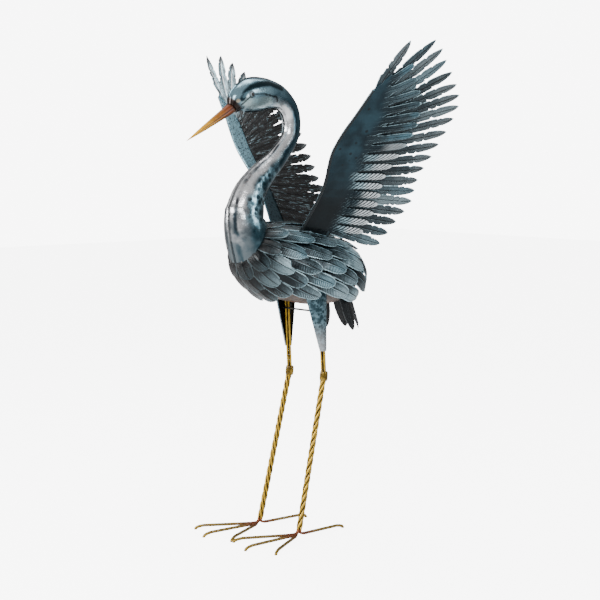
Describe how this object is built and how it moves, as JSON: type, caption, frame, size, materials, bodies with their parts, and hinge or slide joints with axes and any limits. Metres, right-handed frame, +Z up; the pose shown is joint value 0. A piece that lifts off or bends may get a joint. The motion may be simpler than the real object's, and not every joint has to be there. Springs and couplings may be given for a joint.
{
  "type": "crane garden statue",
  "caption": "Standing crane of painted sheet metal with raised wings, overlapping pressed feathers and twisted-rod legs that splay into toes.",
  "frame": {"origin": "on the ground, at the centre of the statue's length and width", "axes": "+Z up, the bird faces -Y and its left side is +X"},
  "size_m": [0.736, 0.5344, 1.0998],
  "materials": {
    "belly_paint": "brown-grey metallic paint, satin",
    "plumage_paint": "dark teal metallic paint brushed with pale blue and silver, satin",
    "tail_paint": "near-black metallic paint, satin",
    "neck_paint": "silver and slate-blue metallic paint over hammered metal, satin",
    "beak_paint": "orange-brown to yellow paint, satin",
    "wing_panel_paint": "slate-teal metallic paint with silvered feather ends, satin",
    "long_feather_paint": "dark grey-teal metallic paint with brushed highlights, satin",
    "thigh_paint": "teal metallic paint over hammered metal, satin",
    "rod_paint": "gold paint with dark brown wash in the grooves, satin",
    "brace_paint": "black paint, satin"
  },
  "bodies": {
    "root": {"back_feathers_1": "plumage_paint", "back_feathers_2": "plumage_paint", "back_feathers_3": "plumage_paint", "beak": "beak_paint", "body_shell": "belly_paint", "feather_row_4": "plumage_paint", "feather_row_5": "plumage_paint", "left_flank_feathers_1": "plumage_paint", "left_flank_feathers_2": "plumage_paint", "left_flank_feathers_3": "plumage_paint", "left_knee": "rod_paint", "left_leg_rods": "rod_paint", "left_thigh": "thigh_paint", "left_upper_leg": "rod_paint", "left_wing_long_feathers": "long_feather_paint", "left_wing_panel": "wing_panel_paint", "leg_brace": "brace_paint", "neck_and_head": "neck_paint", "neck_base_feathers": "plumage_paint", "right_flank_feathers_1": "plumage_paint", "right_flank_feathers_2": "plumage_paint", "right_flank_feathers_3": "plumage_paint", "right_knee": "rod_paint", "right_leg_rods": "rod_paint", "right_thigh": "thigh_paint", "right_upper_leg": "rod_paint", "right_wing_long_feathers": "long_feather_paint", "right_wing_panel": "wing_panel_paint", "tail_feathers": "tail_paint"}
  },
  "joints": []
}
